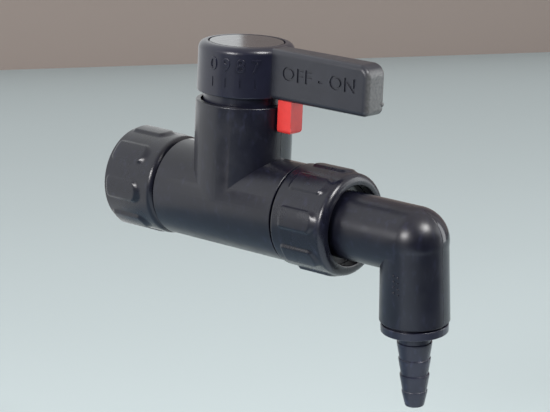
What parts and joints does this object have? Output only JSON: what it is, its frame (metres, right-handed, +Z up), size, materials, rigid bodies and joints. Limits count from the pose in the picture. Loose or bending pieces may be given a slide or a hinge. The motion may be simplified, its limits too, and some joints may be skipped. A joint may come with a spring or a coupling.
{
  "type": "drain tap",
  "caption": "Quarter-turn drain tap in black plastic with union nuts, a lever with a red lock latch, and a swivel elbow with a stepped hose nozzle.",
  "frame": {"origin": "centre of the inlet nut's threaded mouth", "axes": "+X along the flow from the inlet, +Z up the valve stem"},
  "size_m": [0.1609, 0.0434, 0.1342],
  "materials": {
    "body_black": "satin black moulded plastic",
    "lever_black": "fine-grained black moulded plastic",
    "cap_black": "polished black plastic",
    "latch_red": "red moulded plastic",
    "seat_white": "white fluoropolymer",
    "ball_grey": "polished grey plastic",
    "seal_rubber": "black sealing rubber",
    "steel": "stainless steel"
  },
  "bodies": {
    "housing": {"valve_body": "body_black", "inlet_tail": "body_black", "tail_o_ring": "seal_rubber", "inlet_gasket": "seal_rubber", "inlet_seat": "seat_white", "outlet_seat": "seat_white", "inlet_seat_o_ring": "seal_rubber", "outlet_seat_o_ring": "seal_rubber", "outlet_o_ring": "seal_rubber"},
    "lever": {"lever_handle": "lever_black", "hub_cap": "cap_black", "handle_screw": "steel", "screw_washer": "steel", "stem": "ball_grey", "thrust_washer": "seat_white", "stem_o_ring_lower": "seal_rubber", "stem_o_ring_upper": "seal_rubber", "ball": "ball_grey", "latch_pin": "steel", "latch_spring": "steel"},
    "latch": {"lock_latch": "latch_red"},
    "inlet_nut": {"inlet_union_nut": "body_black"},
    "outlet_nut": {"outlet_union_nut": "body_black"},
    "outlet": {"outlet_elbow": "body_black", "hose_nozzle": "body_black", "nozzle_o_ring": "seal_rubber"}
  },
  "joints": [
    {"name": "lever_turn", "type": "hinge", "parent": "housing", "child": "lever", "pos_m": [0.0581, 0, 0], "axis": [0, 0, 1], "range_deg": [0, 90]},
    {"name": "latch_press", "type": "slide", "parent": "lever", "child": "latch", "axis": [0, 0, 1], "range_m": [0, 0.004], "stiffness_N_per_m": 600, "springref_m": -0.003, "deforming": ["latch_spring"]},
    {"name": "inlet_nut_turn", "type": "hinge", "parent": "housing", "child": "inlet_nut", "pos_m": [0, 0, 0], "axis": [1, 0, 0], "continuous": true},
    {"name": "outlet_nut_turn", "type": "hinge", "parent": "housing", "child": "outlet_nut", "pos_m": [0.105, 0, 0], "axis": [1, 0, 0], "continuous": true},
    {"name": "outlet_swivel", "type": "hinge", "parent": "housing", "child": "outlet", "pos_m": [0.105, 0, 0], "axis": [1, 0, 0], "continuous": true}
  ]
}
